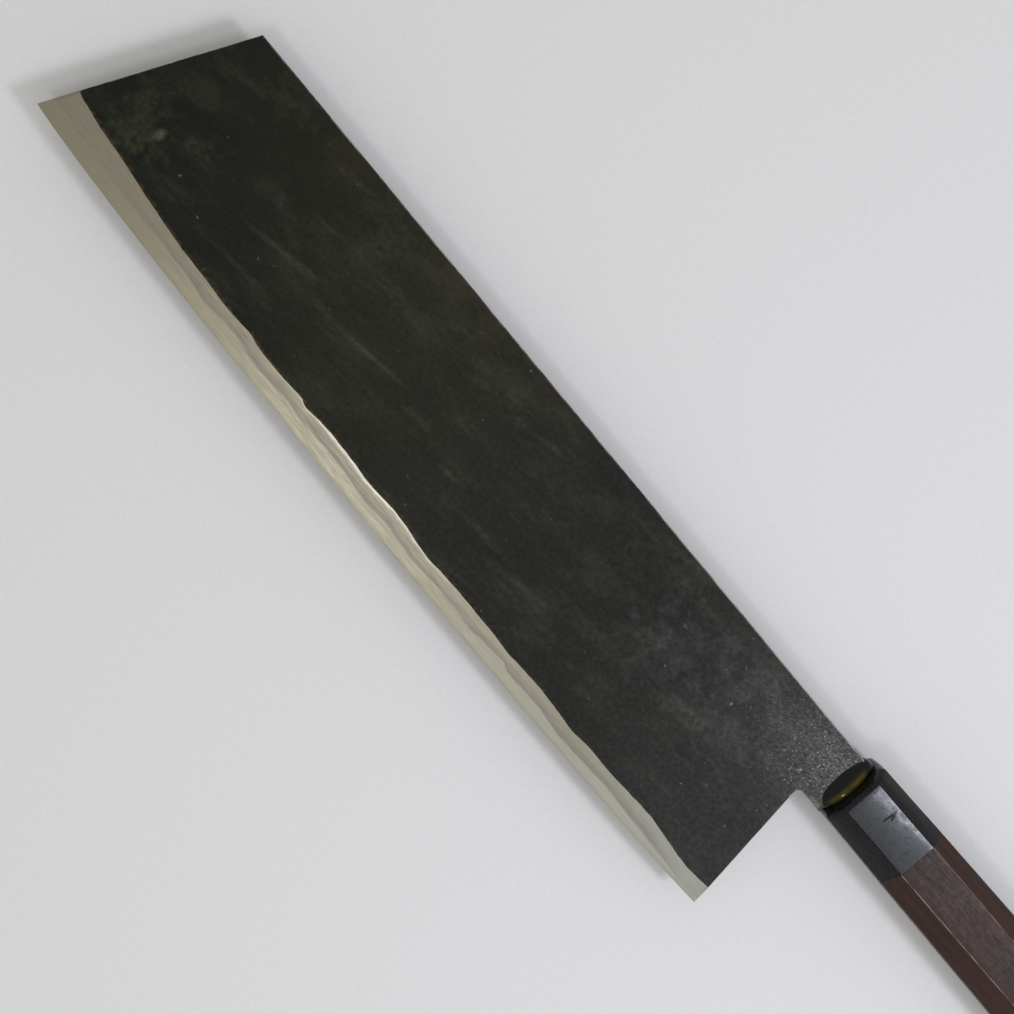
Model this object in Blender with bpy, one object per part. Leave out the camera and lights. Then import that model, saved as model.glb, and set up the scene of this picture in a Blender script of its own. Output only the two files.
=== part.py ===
"""A kiritsuke kitchen knife: a three-layer forged blade in an eight-sided stick-tang handle.

The knife lies on its right side. +X runs from the tip to the butt, +Y from the cutting edge to the
spine and +Z from the right face of the blade to the left one. The finished knife stands on z = 0
with the centre of its outline over the origin. Lengths are in metres.
"""
from math import cos, pi, radians, sin, sqrt, tan

import bmesh
import bpy
from mathutils import Vector

MM = 0.001

# Clearances
FIT_GAP = 0.3 * MM          # between two pieces that fit together
WELD_GAP = 0.03 * MM        # drawn between the forge-welded layers, which really touch

# Blade outline, seen from its left face, with the tip at x = 0, y = 0
EDGE_LENGTH = 250 * MM      # tip to heel, in a straight line along X
HEEL_BELOW_TIP = 6.3 * MM
BELLY_FRONT_RUN = 28 * MM   # first handle of the edge curve: this far behind the tip
BELLY_FRONT_DROP = 4.3 * MM          # and this far below it
BELLY_REAR_RUN = 61 * MM    # second handle: this far ahead of the heel
BELLY_REAR_DROP = 8.8 * MM           # and this far below the tip
SPINE_ABOVE_TIP = 49.6 * MM
CLIP_RUN = 20.7 * MM        # how far the slanted nose leans back up to the spine
HEEL_LEAN = 8.6 * MM        # how far the heel line would lean forward up to the spine
NECK_HEIGHT = 17 * MM
NECK_FILLET = 1.6 * MM
MOUTH_BEHIND_HEEL = 2.9 * MM

# Blade sections
SPINE_THICKNESS_TIP = 1.8 * MM
SPINE_THICKNESS_NECK = 3.2 * MM
TANG_THICKNESS_END = 2.0 * MM
BEVEL_THICKNESS_TIP = 1.24 * MM      # where the ground bevel meets the forged face
BEVEL_THICKNESS_HEEL = 1.6 * MM
BEVEL_WIDTH_TIP = 9 * MM
BEVEL_WIDTH_MIDDLE = 6.5 * MM
BEVEL_WIDTH_HEEL = 4.9 * MM
BEVEL_NOSE_LENGTH = 50 * MM          # the bevel narrows from the tip over this length
BEVEL_HEEL_LENGTH = 40 * MM          # and again over this length before the heel
SHARPENED_HEIGHT = 0.5 * MM
SHARPENED_THICKNESS = 0.2 * MM
FACE_CONVEXITY = 1.6        # 1 is a flat face from bevel to spine, more is fuller
SPINE_EASE = 0.35 * MM      # chamfer on both arrises of the spine
CORE_THICKNESS_TIP = 0.72 * MM
CORE_THICKNESS_NECK = 0.9 * MM
CORE_THICKNESS_END = 0.64 * MM

# Tang, inside the handle
TANG_LENGTH = 92 * MM       # behind the ferrule's front face
TANG_HEIGHT_MOUTH = 11 * MM
TANG_HEIGHT_END = 6 * MM
TANG_END_ROUNDING = 2 * MM
SHOULDER_FILLET = 0.8 * MM
SPINE_SHOULDER_BACK = 1.3 * MM       # the spine starts to drop this far ahead of the ferrule

# Handle, along its own axis from the ferrule's front face
AXIS_BELOW_SPINE = 7.1 * MM
HANDLE_RISE = radians(0.75)          # the handle points this much toward the spine side
HANDLE_LENGTH = 137 * MM
FERRULE_LENGTH = 23.2 * MM
HANDLE_HEIGHT_FRONT = 19.3 * MM
HANDLE_HEIGHT_BUTT = 23.7 * MM
HANDLE_WIDTH_FRONT = 18 * MM
HANDLE_WIDTH_BUTT = 20.8 * MM
EDGE_SIDE_CHAMFER_FRONT = 4.7 * MM
EDGE_SIDE_CHAMFER_BUTT = 7 * MM
SPINE_SIDE_CHAMFER_FRONT = 3.8 * MM
SPINE_SIDE_CHAMFER_BUTT = 6.1 * MM
ARRIS_ROUNDING = 0.6 * MM
FERRULE_RIM_ROUNDING = 1.5 * MM
BUTT_ROUNDING = 1.4 * MM

# Mouth of the ferrule and the resin that seals it
FERRULE_FRONT_WALL = 5 * MM
MOUTH_HOLE_HEIGHT = 14.4 * MM
MOUTH_HOLE_WIDTH = 8 * MM
SEAL_HEIGHT = 16.6 * MM
SEAL_WIDTH = 11 * MM
SEAL_DOME = 3.2 * MM

# Dowel that joins ferrule and grip, slit for the tang
DOWEL_DIAMETER = 13 * MM
DOWEL_SOLID_END = 6 * MM
DOWEL_CHAMFER = 0.6 * MM
BEDDING_WALL = 0.8 * MM     # resin on each side of the tang
BEDDING_BEHIND_TANG = 3 * MM
GLUE_SPACE = 2 * MM         # behind the dowel in the grip's bore

# Fineness of the curved shapes
ARC_STEPS = 3
ROUND_SIDES = 40
FACE_ROWS = (0, 0.12, 0.3, 0.55, 1)  # shares of the way from bevel to spine
DOME_TURNS = (0, 15, 32, 50, 68)     # degrees up the seal's dome
SHARP_ANGLE = radians(28)   # edges turned more than this stay crisp
STATION_PITCH = 7 * MM
REACH = 10 * MM             # how far cutters run past what they cut

MOUTH_X = EDGE_LENGTH + MOUTH_BEHIND_HEEL
AXIS_Y = SPINE_ABOVE_TIP - AXIS_BELOW_SPINE
AXIS_DIRECTION = Vector((cos(HANDLE_RISE), sin(HANDLE_RISE)))
TANG_TIP_X = MOUTH_X + TANG_LENGTH * AXIS_DIRECTION.x
BORE_DIAMETER = DOWEL_DIAMETER + 2 * FIT_GAP
BEDDING_END = TANG_LENGTH + BEDDING_BEHIND_TANG
BEDDING_WIDTH = SPINE_THICKNESS_NECK + 2 * (FIT_GAP + BEDDING_WALL)
DOWEL_FRONT = FERRULE_FRONT_WALL + FIT_GAP
DOWEL_END = BEDDING_END + FIT_GAP + DOWEL_SOLID_END


def between(start, end, share):
    """The value at a share of the way from start to end, held at both ends."""
    return start + (end - start) * min(max(share, 0), 1)


def smooth(share):
    """A share eased in and out between 0 and 1."""
    share = min(max(share, 0), 1)
    return share * share * (3 - 2 * share)


def make_material(name, colour, roughness, metallic=0.0):
    """A plain Principled material."""
    material = bpy.data.materials.new(name)
    material.use_nodes = True
    shader = material.node_tree.nodes["Principled BSDF"]
    shader.inputs["Base Color"].default_value = (*colour, 1)
    shader.inputs["Roughness"].default_value = roughness
    shader.inputs["Metallic"].default_value = metallic
    return material


def make_object(name, mesh, parent, material=None):
    """An object under an empty; without a material it is a hidden cutter."""
    made = bpy.data.objects.new(name, mesh)
    made.parent = parent
    bpy.context.scene.collection.objects.link(made)
    if material:
        mesh.materials.append(material)
        mesh.shade_smooth()
        mesh.set_sharp_from_angle(angle=SHARP_ANGLE)
    else:
        made.hide_render = True
        made.display_type = "WIRE"
    return made


def make_frame(name, location, turn=0.0, parent=None):
    """An empty that carries pieces; turn is about Z."""
    frame = bpy.data.objects.new(name, None)
    frame.location = location
    frame.rotation_euler.z = turn
    frame.parent = parent
    bpy.context.scene.collection.objects.link(frame)
    return frame


def cut(target, cutter, operation="DIFFERENCE"):
    """Add a live Boolean to the target."""
    modifier = target.modifiers.new(operation.title() + " " + cutter.name, "BOOLEAN")
    modifier.object = cutter
    modifier.operation = operation


def loft(name, rings):
    """A closed skin over rings of equal point count, capped at both ends."""
    bm = bmesh.new()
    loops = [[bm.verts.new(point) for point in ring] for ring in rings]
    for near, far in zip(loops, loops[1:]):
        for i in range(len(near)):
            j = (i + 1) % len(near)
            bm.faces.new((near[i], near[j], far[j], far[i]))
    bm.faces.new(loops[0])
    bm.faces.new(loops[-1])
    bmesh.ops.recalc_face_normals(bm, faces=bm.faces)
    mesh = bpy.data.meshes.new(name)
    bm.to_mesh(mesh)
    bm.free()
    return mesh


def prism(name, outline, low, high):
    """An outline in X and Y, filled and extruded from z = low to z = high."""
    bm = bmesh.new()
    floor = bm.faces.new([bm.verts.new((x, y, low)) for x, y in outline])
    side = bmesh.ops.extrude_face_region(bm, geom=[floor])["geom"]
    lifted = [item for item in side if isinstance(item, bmesh.types.BMVert)]
    bmesh.ops.translate(bm, vec=(0, 0, high - low), verts=lifted)
    bmesh.ops.recalc_face_normals(bm, faces=bm.faces)
    mesh = bpy.data.meshes.new(name)
    bm.to_mesh(mesh)
    bm.free()
    return mesh


def fillet(before, corner, after, radius, steps=6):
    """Points of an arc of the given radius that rounds off a corner."""
    before, corner, after = Vector(before), Vector(corner), Vector(after)
    first = (before - corner).normalized()
    second = (after - corner).normalized()
    half = first.angle(second) / 2
    centre = corner + (first + second).normalized() * radius / sin(half)
    start = corner + first * radius / tan(half) - centre
    sweep = pi - 2 * half
    turn = -1 if first.x * second.y - first.y * second.x > 0 else 1
    points = []
    for i in range(steps + 1):
        angle = turn * sweep * i / steps
        points.append(centre + Vector((start.x * cos(angle) - start.y * sin(angle),
                                       start.x * sin(angle) + start.y * cos(angle))))
    return points


def crossing(point_a, direction_a, point_b, direction_b):
    """Where two lines in the XY plane cross."""
    cross = direction_a.x * direction_b.y - direction_a.y * direction_b.x
    gap = point_b - point_a
    return point_a + direction_a * (gap.x * direction_b.y - gap.y * direction_b.x) / cross


def edge_curve(x):
    """Height of the cutting edge at x: a cubic Bezier from tip to heel, level behind the heel."""
    handles = ((0, 0), (BELLY_FRONT_RUN, -BELLY_FRONT_DROP),
               (EDGE_LENGTH - BELLY_REAR_RUN, -BELLY_REAR_DROP), (EDGE_LENGTH, -HEEL_BELOW_TIP))
    low, high = 0.0, 1.0
    for _ in range(40):
        t = (low + high) / 2
        weights = ((1 - t) ** 3, 3 * t * (1 - t) ** 2, 3 * t * t * (1 - t), t ** 3)
        if sum(w * h[0] for w, h in zip(weights, handles)) < x:
            low = t
        else:
            high = t
    return sum(w * h[1] for w, h in zip(weights, handles))


def along_blade(x, tip, neck, tang_end):
    """A size that changes evenly from tip to ferrule, and again to the end of the tang."""
    if x < MOUTH_X:
        return between(tip, neck, x / MOUTH_X)
    return between(neck, tang_end, (x - MOUTH_X) / (TANG_TIP_X - MOUTH_X))


def spine_thickness(x):
    """Thickness of the blade at the spine, and of the tang."""
    return along_blade(x, SPINE_THICKNESS_TIP, SPINE_THICKNESS_NECK, TANG_THICKNESS_END)


def core_thickness(x):
    """Thickness of the hard middle layer."""
    return along_blade(x, CORE_THICKNESS_TIP, CORE_THICKNESS_NECK, CORE_THICKNESS_END)


def bevel_width(x):
    """Height of the ground bevel above the edge."""
    nose = smooth(x / BEVEL_NOSE_LENGTH)
    heel = smooth((x - EDGE_LENGTH + BEVEL_HEEL_LENGTH) / BEVEL_HEEL_LENGTH)
    width = between(BEVEL_WIDTH_TIP, BEVEL_WIDTH_MIDDLE, nose)
    return width + (BEVEL_WIDTH_HEEL - BEVEL_WIDTH_MIDDLE) * heel


def border_point(x):
    """Height and half thickness where the ground bevel meets the forged face."""
    thickness = between(BEVEL_THICKNESS_TIP, BEVEL_THICKNESS_HEEL, x / EDGE_LENGTH)
    return edge_curve(x) + bevel_width(x), thickness / 2


def sharpened_point(x):
    """Height and half thickness where the sharpened edge meets the ground bevel."""
    return edge_curve(x) + SHARPENED_HEIGHT, SHARPENED_THICKNESS / 2


def bevel_height(x, half):
    """Where on the ground bevel the blade has a given half thickness."""
    low, thin = sharpened_point(x)
    high, thick = border_point(x)
    return low + (high - low) * (half - thin) / (thick - thin)


def core_section(x):
    """Ring of the hard core: the edge, its part of the bevel, and flat sides up to the spine."""
    half = core_thickness(x) / 2
    profile = [sharpened_point(x), (bevel_height(x, half), half), (SPINE_ABOVE_TIP, half)]
    left = [(x, y, z) for y, z in profile]
    right = [(x, y, -z) for y, z in reversed(profile)]
    return [(x, edge_curve(x), 0)] + left + right


def cladding_section(x, side):
    """Ring of a soft layer: its part of the bevel, the forged face, the eased spine, the weld."""
    inner = core_thickness(x) / 2 + WELD_GAP
    border, border_half = border_point(x)
    spine_half = spine_thickness(x) / 2
    face_top = SPINE_ABOVE_TIP - SPINE_EASE
    profile = [(bevel_height(x, inner), inner)]
    for share in FACE_ROWS:
        bulge = 1 - (1 - share) ** FACE_CONVEXITY
        profile.append((between(border, face_top, share), between(border_half, spine_half, bulge)))
    profile += [(SPINE_ABOVE_TIP, spine_half - SPINE_EASE), (SPINE_ABOVE_TIP, inner)]
    return [(x, y, side * z) for y, z in profile]


def stations(start, end):
    """Even stations along X, both ends included."""
    count = round((end - start) / STATION_PITCH)
    return [start + (end - start) * i / count for i in range(count + 1)]


def make_layer(name, section, frame, outline_cutter, material):
    """A layer of the blade and tang: its sections along X, cut to the knife's outline."""
    marks = stations(-REACH, MOUTH_X) + stations(MOUTH_X, TANG_TIP_X + REACH)[1:]
    layer = make_object(name, loft(name, [section(x) for x in marks]), frame, material)
    cut(layer, outline_cutter, "INTERSECT")


def on_axis(distance, offset):
    """A point in the blade's plane, given along the handle's axis and square to it."""
    square = Vector((-AXIS_DIRECTION.y, AXIS_DIRECTION.x))
    return Vector((MOUTH_X, AXIS_Y)) + AXIS_DIRECTION * distance + square * offset


def tang_side(sign, grow):
    """A long side of the tang as a start and an end point; grow moves it outward."""
    start = on_axis(0, sign * (TANG_HEIGHT_MOUTH / 2 + grow))
    end = on_axis(TANG_LENGTH + grow, sign * (TANG_HEIGHT_END / 2 + grow))
    return start, end


def tang_outline(grow, neck_front):
    """Neck and tang back from neck_front, clockwise from the spine; grow adds room all round."""
    spine = SPINE_ABOVE_TIP + grow
    neck_floor = SPINE_ABOVE_TIP - NECK_HEIGHT - grow
    shoulder = MOUTH_X - FIT_GAP + grow
    top, top_end = tang_side(1, grow)
    floor, floor_end = tang_side(-1, grow)
    slope_start = Vector((MOUTH_X - SPINE_SHOULDER_BACK + grow * tan(pi / 8), spine))
    slope = Vector((1, -1))
    slope_end = crossing(slope_start, slope, top, top_end - top)
    step = crossing(Vector((shoulder, 0)), Vector((0, 1)), floor, floor_end - floor)
    outline = [Vector((neck_front, spine)), slope_start, slope_end]
    outline += fillet(slope_end, top_end, floor_end, TANG_END_ROUNDING + grow)
    outline += fillet(top_end, floor_end, step, TANG_END_ROUNDING + grow)
    outline += fillet(floor_end, step, (shoulder, neck_floor), SHOULDER_FILLET, 3)
    outline += [Vector((shoulder, neck_floor)), Vector((neck_front, neck_floor))]
    return outline


def blade_outline():
    """The outline that trims the layers; it runs clear of the edge and of the spine."""
    clip = Vector((CLIP_RUN, SPINE_ABOVE_TIP))
    heel = Vector((EDGE_LENGTH, -HEEL_BELOW_TIP))
    heel_line = Vector((-HEEL_LEAN, SPINE_ABOVE_TIP + HEEL_BELOW_TIP))
    neck_floor = SPINE_ABOVE_TIP - NECK_HEIGHT
    neck_corner = crossing(heel, heel_line, Vector((0, neck_floor)), Vector((1, 0)))
    behind = tang_outline(0, neck_corner.x)[1:-1]
    over = REACH / SPINE_ABOVE_TIP
    under = (SPINE_ABOVE_TIP + REACH) / SPINE_ABOVE_TIP
    outline = [-clip * over, clip * under]
    outline += [behind[0] + Vector((-REACH, REACH))] + behind[1:]
    outline += fillet(behind[-1], neck_corner, heel, NECK_FILLET)
    outline.append(heel - heel_line * over)
    return outline


def make_blade(frame):
    """The three welded layers: hard core, and a soft layer on each side."""
    ground_steel = make_material("core_steel", (0.42, 0.39, 0.33), 0.32, 1)
    forged_steel = make_material("forged_steel", (0.03, 0.028, 0.024), 0.6, 0.6)
    mesh = prism("blade_outline", blade_outline(), -REACH, REACH)
    outline = make_object("blade_outline", mesh, frame)
    make_layer("core_steel", core_section, frame, outline, ground_steel)
    for name, side in (("cladding_left", 1), ("cladding_right", -1)):
        make_layer(name, lambda x: cladding_section(x, side), frame, outline, forged_steel)


def tang_room(name, neck_front, sides):
    """A cutter that leaves the fit gap round neck and tang, tapered as they are."""
    mesh = prism(name, tang_outline(FIT_GAP, neck_front), -sides, sides)
    for vertex in mesh.vertices:
        half = spine_thickness(vertex.co.x) / 2 + FIT_GAP
        vertex.co.z = half if vertex.co.z > 0 else -half
    return mesh


def handle_section(distance, inset):
    """Half height, half width and both chamfers of the handle at a distance, drawn in by inset."""
    share = distance / HANDLE_LENGTH
    lost = inset * (2 - sqrt(2))
    return (between(HANDLE_HEIGHT_FRONT, HANDLE_HEIGHT_BUTT, share) / 2 - inset,
            between(HANDLE_WIDTH_FRONT, HANDLE_WIDTH_BUTT, share) / 2 - inset,
            between(EDGE_SIDE_CHAMFER_FRONT, EDGE_SIDE_CHAMFER_BUTT, share) - lost,
            between(SPINE_SIDE_CHAMFER_FRONT, SPINE_SIDE_CHAMFER_BUTT, share) - lost)


def handle_ring(distance, inset=0.0):
    """The eight-sided section with rounded arrises, as a ring square to the handle's axis."""
    height, width, low_chamfer, top_chamfer = handle_section(distance, inset)
    upper = [(width, height - top_chamfer), (width - top_chamfer, height)]
    lower = [(-(width - low_chamfer), -height), (-width, -(height - low_chamfer))]
    corners = upper + [(-z, y) for z, y in reversed(upper)]
    corners += lower[::-1] + [(-z, y) for z, y in lower]
    ring = []
    for i, corner in enumerate(corners):
        arc = fillet(corners[i - 1], corner, corners[(i + 1) % 8], ARRIS_ROUNDING, ARC_STEPS)
        ring += [(distance, point.y, point.x) for point in arc]
    return ring


def rounded_end(distance, radius, direction):
    """Rings of a quarter-round rim at an end face; direction points into the piece."""
    rings = []
    for i in range(ARC_STEPS + 1):
        angle = pi / 2 * i / ARC_STEPS
        depth = direction * radius * (1 - cos(angle))
        rings.append(handle_ring(distance + depth, radius * (1 - sin(angle))))
    return rings


def stadium(distance, height, width):
    """A straight-sided oval ring square to the handle's axis, with full round ends."""
    radius = width / 2
    middle = height / 2 - radius
    count = ROUND_SIDES // 2
    ring = []
    for end in (1, -1):
        for i in range(count + 1):
            angle = pi * i / count
            ring.append((distance, end * (middle + radius * sin(angle)), end * radius * cos(angle)))
    return ring


def cylinder(name, start, end, diameter, chamfer=0.0):
    """A round bar along the handle's axis, with optional chamfers at both ends."""
    rings = []
    marks = [(start, chamfer), (start + chamfer, 0), (end - chamfer, 0), (end, chamfer)]
    for distance, cut_back in marks if chamfer else marks[::3]:
        radius = diameter / 2 - cut_back
        turns = [2 * pi * i / ROUND_SIDES for i in range(ROUND_SIDES)]
        rings.append([(distance, radius * cos(turn), radius * sin(turn)) for turn in turns])
    return loft(name, rings)


def make_ferrule(frame, bore):
    """The horn ferrule: rounded front rim, oval mouth and a socket for the dowel."""
    horn = make_material("black_horn", (0.012, 0.012, 0.011), 0.12)
    rings = rounded_end(0, FERRULE_RIM_ROUNDING, 1) + [handle_ring(FERRULE_LENGTH)]
    ferrule = make_object("ferrule", loft("ferrule", rings), frame, horn)
    mouth = [stadium(x, MOUTH_HOLE_HEIGHT, MOUTH_HOLE_WIDTH) for x in (-REACH, DOWEL_FRONT)]
    cut(ferrule, make_object("ferrule_mouth", loft("ferrule_mouth", mouth), frame))
    cut(ferrule, bore)


def make_grip(frame, bore):
    """The wooden grip: a tapered eight-sided bar with a blind bore and a rounded butt."""
    rosewood = make_material("rosewood", (0.085, 0.035, 0.022), 0.35)
    rings = [handle_ring(FERRULE_LENGTH + FIT_GAP)]
    rings += rounded_end(HANDLE_LENGTH, BUTT_ROUNDING, -1)[::-1]
    grip = make_object("grip", loft("grip", rings), frame, rosewood)
    cut(grip, bore)


def make_mouth_seal(frame, room):
    """The resin that fills the ferrule's mouth and stands domed against the neck."""
    resin = make_material("amber_resin", (0.16, 0.1, 0.03), 0.08)
    plug = (MOUTH_HOLE_HEIGHT - 2 * FIT_GAP, MOUTH_HOLE_WIDTH - 2 * FIT_GAP)
    rings = [stadium(FERRULE_FRONT_WALL, *plug), stadium(-FIT_GAP, *plug)]
    for turn in map(radians, DOME_TURNS):
        inset = SEAL_WIDTH * (1 - cos(turn))
        rise = SEAL_DOME * sin(turn)
        rings.append(stadium(-FIT_GAP - rise, SEAL_HEIGHT - inset, SEAL_WIDTH - inset))
    seal = make_object("mouth_seal", loft("mouth_seal", rings), frame, resin)
    cut(seal, room)


def make_dowel(frame):
    """The hardwood dowel, slit from the front to take the tang and its bedding."""
    hardwood = make_material("hardwood", (0.42, 0.28, 0.16), 0.6)
    bar = cylinder("dowel", DOWEL_FRONT, DOWEL_END, DOWEL_DIAMETER, DOWEL_CHAMFER)
    dowel = make_object("dowel", bar, frame, hardwood)
    half = BEDDING_WIDTH / 2 + FIT_GAP
    slit_end = BEDDING_END + FIT_GAP
    slit = [(0, -REACH), (slit_end, -REACH), (slit_end, REACH), (0, REACH)]
    cut(dowel, make_object("dowel_slit", prism("dowel_slit", slit, -half, half), frame))


def make_tang_bedding(frame, room):
    """The set resin between the tang and the dowel's slit."""
    resin = make_material("bedding_resin", (0.3, 0.27, 0.2), 0.4)
    bar = cylinder("tang_bedding", DOWEL_FRONT, BEDDING_END, DOWEL_DIAMETER)
    bedding = make_object("tang_bedding", bar, frame, resin)
    half = BEDDING_WIDTH / 2
    strip = [(0, -REACH), (BEDDING_END + REACH, -REACH), (BEDDING_END + REACH, REACH), (0, REACH)]
    slab = make_object("bedding_space", prism("bedding_space", strip, -half, half), frame)
    cut(bedding, slab, "INTERSECT")
    cut(bedding, room)


def stand_on_origin(frame):
    """Move the whole knife so that its box stands centred on the origin, at z = 0."""
    scene = bpy.context.evaluated_depsgraph_get()
    corners = []
    for piece in bpy.context.scene.objects:
        if piece.type == "MESH" and not piece.hide_render:
            solid = piece.evaluated_get(scene)
            corners += [solid.matrix_world @ vertex.co for vertex in solid.data.vertices]
    low = [min(corner[i] for corner in corners) for i in range(3)]
    high = [max(corner[i] for corner in corners) for i in range(3)]
    frame.location = (-(low[0] + high[0]) / 2, -(low[1] + high[1]) / 2, -low[2])


def main():
    """Build the knife."""
    for existing in list(bpy.data.objects):
        bpy.data.objects.remove(existing)
    knife_frame = make_frame("knife_frame", (0, 0, 0))
    handle_frame = make_frame("handle_frame", (MOUTH_X, AXIS_Y, 0), HANDLE_RISE, knife_frame)

    make_blade(knife_frame)
    front = MOUTH_X - REACH
    room = make_object("tang_room", tang_room("tang_room", front, REACH), knife_frame)
    bore_mesh = cylinder("dowel_bore", FERRULE_FRONT_WALL, DOWEL_END + GLUE_SPACE, BORE_DIAMETER)
    bore = make_object("dowel_bore", bore_mesh, handle_frame)
    make_ferrule(handle_frame, bore)
    make_grip(handle_frame, bore)
    make_mouth_seal(handle_frame, room)
    make_dowel(handle_frame)
    make_tang_bedding(handle_frame, room)
    stand_on_origin(knife_frame)


main()
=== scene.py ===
"""A kiritsuke knife lying on its right side: forged blade, horn ferrule, rosewood grip.

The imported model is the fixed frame. The blade's layers, the resin seal, the ferrule and the grip are
drawn again here as finer surfaces in the same places, and everything gets its finish.
Lengths are in metres unless a name says millimetres.
"""

from functools import partial
from math import atan, cos, pi, radians, sin, sqrt, tan

import bmesh
import bpy
import numpy as np
from mathutils import Matrix, Vector


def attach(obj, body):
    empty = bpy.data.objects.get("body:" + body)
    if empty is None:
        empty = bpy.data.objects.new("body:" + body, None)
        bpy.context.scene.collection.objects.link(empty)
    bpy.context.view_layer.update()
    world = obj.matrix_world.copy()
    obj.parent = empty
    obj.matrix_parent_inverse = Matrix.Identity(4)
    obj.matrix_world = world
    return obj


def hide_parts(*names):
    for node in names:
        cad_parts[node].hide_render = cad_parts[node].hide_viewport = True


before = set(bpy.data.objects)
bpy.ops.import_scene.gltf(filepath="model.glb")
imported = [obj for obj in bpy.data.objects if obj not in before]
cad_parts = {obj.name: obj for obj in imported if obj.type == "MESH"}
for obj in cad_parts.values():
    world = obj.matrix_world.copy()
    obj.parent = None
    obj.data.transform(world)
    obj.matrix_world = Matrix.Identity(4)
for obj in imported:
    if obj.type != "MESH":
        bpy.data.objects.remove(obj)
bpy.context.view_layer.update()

MM = 0.001
TIP = np.array((-0.194967, -0.024542, 0.010386))    # the blade's tip, in the middle of its thickness
FOCAL, PICTURE = 1750, 1014                         # the photograph's focal length and width, in its pixels

# Blade, in millimetres from the tip: x runs to the heel, y up to the spine, z out of the left face
EDGE_LENGTH = 250.0
SPINE = 49.6
CLIP_RUN = 20.7             # the slanted nose leans back this far up to the spine
HEEL_DROP = 6.3
HEEL_LEAN = 8.6
NECK_HEIGHT = 17.0
NECK_FILLET = 1.6
SHOULDER = 252.6
MOUTH = 252.9               # front face of the ferrule
TANG_END = 344.9
TANG_FLOOR = 37.0
SLOPE_START = 251.6         # the spine drops at 45 degrees from here to the tang's top
WELD = 0.004                # hairline drawn between the forge-welded layers
SPINE_EASE = 0.3            # radius of the rounding along the spine
EDGE_EASE = 0.15            # light on the arrises of nose, heel and neck
GRID = 0.75                 # spacing of the points on the faces
CORE_GRID = 8.0             # and on the core's hidden sides
SHARPENED = 0.5             # height of the sharpened strip along the edge
SHARPENED_HALF = 0.1        # half thickness at its top
TANG_HALVES = (5.5, 3.0)    # half height at the mouth and at the end
# Zones of a layer, and the places of their finishes in its list. The last is a soft layer's worn arrises,
# which also carry a painted highlight, or the core's sharpened edge
BEVEL, FORGED, NARROW, EDGED = range(4)

# Height of the border between ground bevel and forged scale above the edge, as (x, height)
BORDER = ((0, 9.2), (3.5, 9), (13, 8.45), (22, 8.15), (31, 7.4), (44.4, 6.65), (54.6, 6.6), (60.4, 6.3),
          (67, 6.6), (70, 6.95), (71.5, 6.75), (73, 6.4), (78, 6.25), (84, 6.5), (88.6, 6.8), (89.5, 6.9),
          (90.3, 6.5), (92, 6.1), (93.6, 6.35), (96, 6.7), (100.2, 7), (109.7, 6.85), (114, 6.5), (117, 6.5),
          (121, 6.8), (124.2, 7), (129, 6.8), (133.9, 6.2), (138.7, 6), (143, 6.3), (148.6, 6.5), (156, 6.5),
          (163.5, 6.45), (166, 6.2), (170, 6.1), (173.6, 6.3), (178, 6.5), (183.7, 6.5), (190, 6.1),
          (195.2, 5.7), (198, 6.1), (201.7, 6.25), (209.4, 6.05), (216, 6.3), (219.9, 6.5), (225, 6.5),
          (227.8, 6.3), (233.1, 5.65), (237, 5.1), (241, 4.7), (245, 4.9), (250, 5.25))
# Height of the line where the hard core comes out of the cladding
LAMINATION = ((0, 3.6), (20, 3.5), (36.5, 3.7), (46.7, 3.8), (51.2, 3.75), (55.8, 3.3), (58.1, 2.9),
              (60.4, 3.2), (65, 3.7), (69.6, 3.85), (74, 3.4), (79, 3.1), (84, 3.5), (88.3, 3.8),
              (90.7, 3.5), (97.8, 3.5), (102.6, 3.7), (109.7, 3.65), (114.5, 3.1), (119.3, 3.05), (122, 3.3),
              (126.6, 3.35), (131, 2.9), (136.3, 2.6), (141, 2.9), (146.1, 3.1), (153.6, 3.05),
              (158.5, 2.55), (163.5, 3.2), (170.6, 3.8), (172.4, 3), (176, 2.9), (181.2, 3.1), (185, 3.25),
              (189, 2.7), (193.9, 2.35), (206.9, 2.8), (212, 2.95), (218, 2.5), (225.1, 2.2), (235.7, 1.6),
              (241, 1.1), (250, 0.9))

# Rub marks and worn spots of the left face: x, y, length and width in mm, turn in degrees, strength
RUB_MARKS = ((61, 20.8, 26, 2.2, 10.5, 0.17), (93, 20.8, 25, 1.7, 8, 0.19), (126.5, 16.7, 12, 2, 7, 0.12),
             (138, 40.2, 11, 2, 10, 0.11), (111.3, 19.5, 13, 2.4, 3, 0.1), (22.8, 16.8, 3, 4.4, -15, 0.5),
             (251.2, 33.4, 9, 3.4, 12, 0.7))
WORN_SPOTS = ((15.8, 18.7, 14, 17, 0, 0.26), (20, 11.6, 18, 9, 20, 0.34), (36, 44.5, 16, 9, 0, 0.18),
              (30, 21, 10, 5, 10, 0.2), (74, 45, 28, 9, 0, 0.12))

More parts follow.
